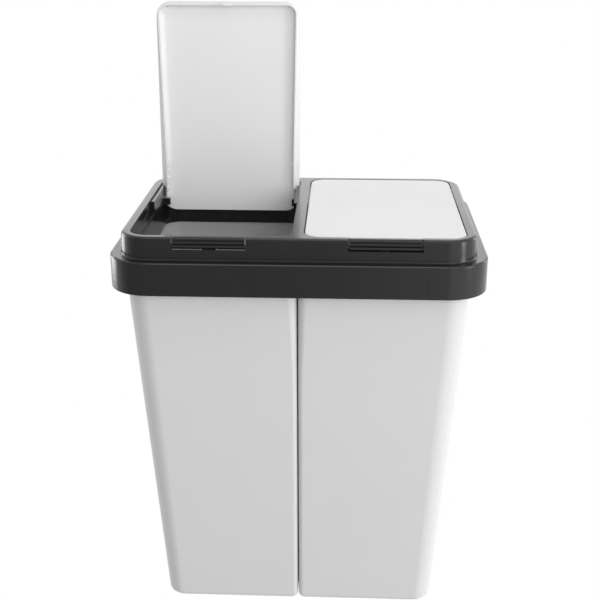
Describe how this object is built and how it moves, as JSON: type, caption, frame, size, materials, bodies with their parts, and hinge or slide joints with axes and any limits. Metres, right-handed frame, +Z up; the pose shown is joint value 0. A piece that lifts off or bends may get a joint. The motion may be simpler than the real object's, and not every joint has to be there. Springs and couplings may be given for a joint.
{
  "type": "double recycling bin",
  "caption": "Free-standing bin for sorted waste: tapered tubs side by side under one lid frame with push-open flip lids.",
  "frame": {"origin": "on the floor, below the middle of the lid frame's outline", "axes": "+Z up, -Y to the front where the press bars are, +X to the right of someone who faces the front"},
  "size_m": [0.45, 0.333, 0.7586],
  "materials": {
    "frame_plastic": "moulded, soft gloss",
    "tub_plastic": "moulded, soft gloss",
    "lid_plastic": "fine grain",
    "spring_steel": "bright wire"
  },
  "bodies": {
    "tubs": {"left_tub": "tub_plastic", "right_tub": "tub_plastic"},
    "frame": {"lid_frame": "frame_plastic", "left_latch_spring": "spring_steel", "right_latch_spring": "spring_steel"},
    "left_lid_body": {"left_lid": "lid_plastic", "left_lid_spring": "spring_steel"},
    "left_latch_body": {"left_latch": "frame_plastic"},
    "right_lid_body": {"right_lid": "lid_plastic", "right_lid_spring": "spring_steel"},
    "right_latch_body": {"right_latch": "frame_plastic"}
  },
  "joints": [
    {"name": "frame_lift", "type": "slide", "parent": "tubs", "child": "frame", "axis": [0, 0, 1], "range_m": [0, 0.1]},
    {"name": "left_lid_hinge", "type": "hinge", "parent": "frame", "child": "left_lid_body", "pos_m": [-0.10298, 0.10846, 0.5099], "axis": [-1, 0, 0], "range_deg": [-92, 0]},
    {"name": "left_latch_rock", "type": "hinge", "parent": "frame", "child": "left_latch_body", "pos_m": [-0.10298, -0.15, 0.5057], "axis": [-1, 0, 0], "range_deg": [0, 9], "stiffness_Nm_per_rad": 0.05, "springref_deg": -11.46, "deforming": ["left_latch_spring"]},
    {"name": "right_lid_hinge", "type": "hinge", "parent": "frame", "child": "right_lid_body", "pos_m": [0.10298, 0.10846, 0.5099], "axis": [-1, 0, 0], "range_deg": [0, 92]},
    {"name": "right_latch_rock", "type": "hinge", "parent": "frame", "child": "right_latch_body", "pos_m": [0.10298, -0.15, 0.5057], "axis": [-1, 0, 0], "range_deg": [0, 9], "stiffness_Nm_per_rad": 0.05, "springref_deg": -11.46, "deforming": ["right_latch_spring"]}
  ]
}
